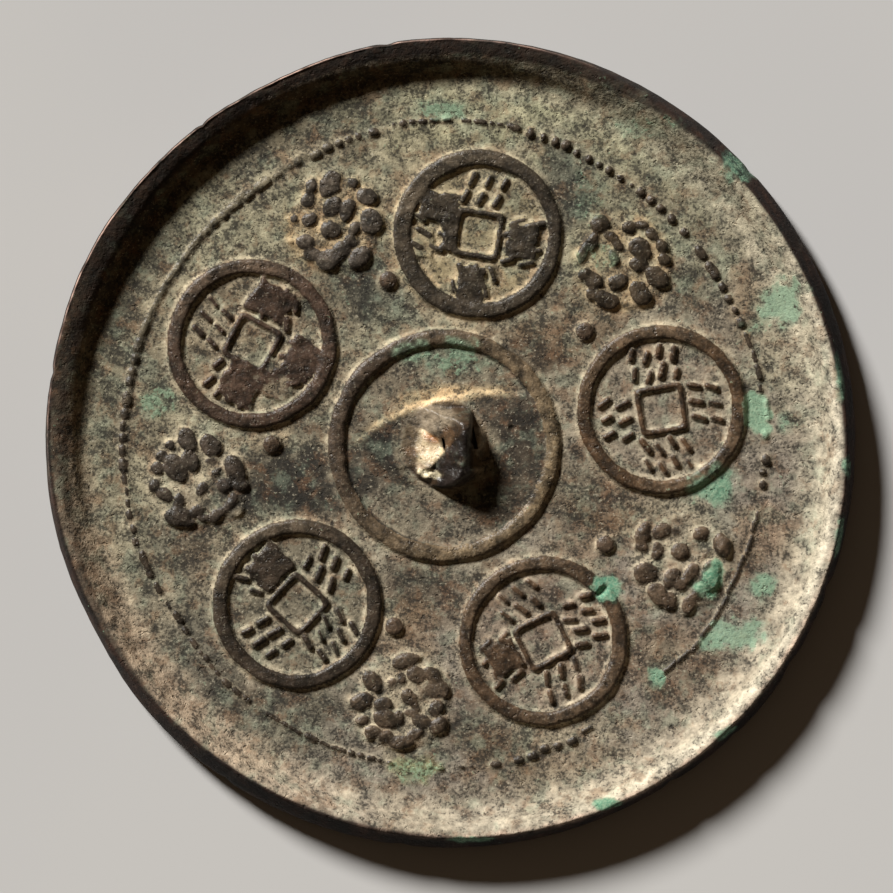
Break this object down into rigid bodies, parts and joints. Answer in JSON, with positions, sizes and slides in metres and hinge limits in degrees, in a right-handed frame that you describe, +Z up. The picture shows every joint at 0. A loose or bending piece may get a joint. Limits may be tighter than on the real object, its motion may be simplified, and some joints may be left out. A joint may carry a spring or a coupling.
{
  "type": "bronze mirror",
  "caption": "Round cast bronze hand mirror, back up: raised rim, pierced knob in a ring, coin impressions, rosettes and a bead line in low relief; the plain polished face is the underside.",
  "frame": {"origin": "centre of the flat underside, which is the polished face the mirror lies on", "axes": "+Z up through the decorated back, along the mirror's thickness; +Y towards the top coin impression, +X to its right"},
  "size_m": [0.12, 0.12, 0.0088],
  "materials": {
    "bronze": "leaded tin bronze, buried patina: brown-black on the raised tops, tan earth in the recesses, grey-green field and small spots of green corrosion"
  },
  "bodies": {
    "root": {"mirror": "bronze"}
  },
  "joints": []
}
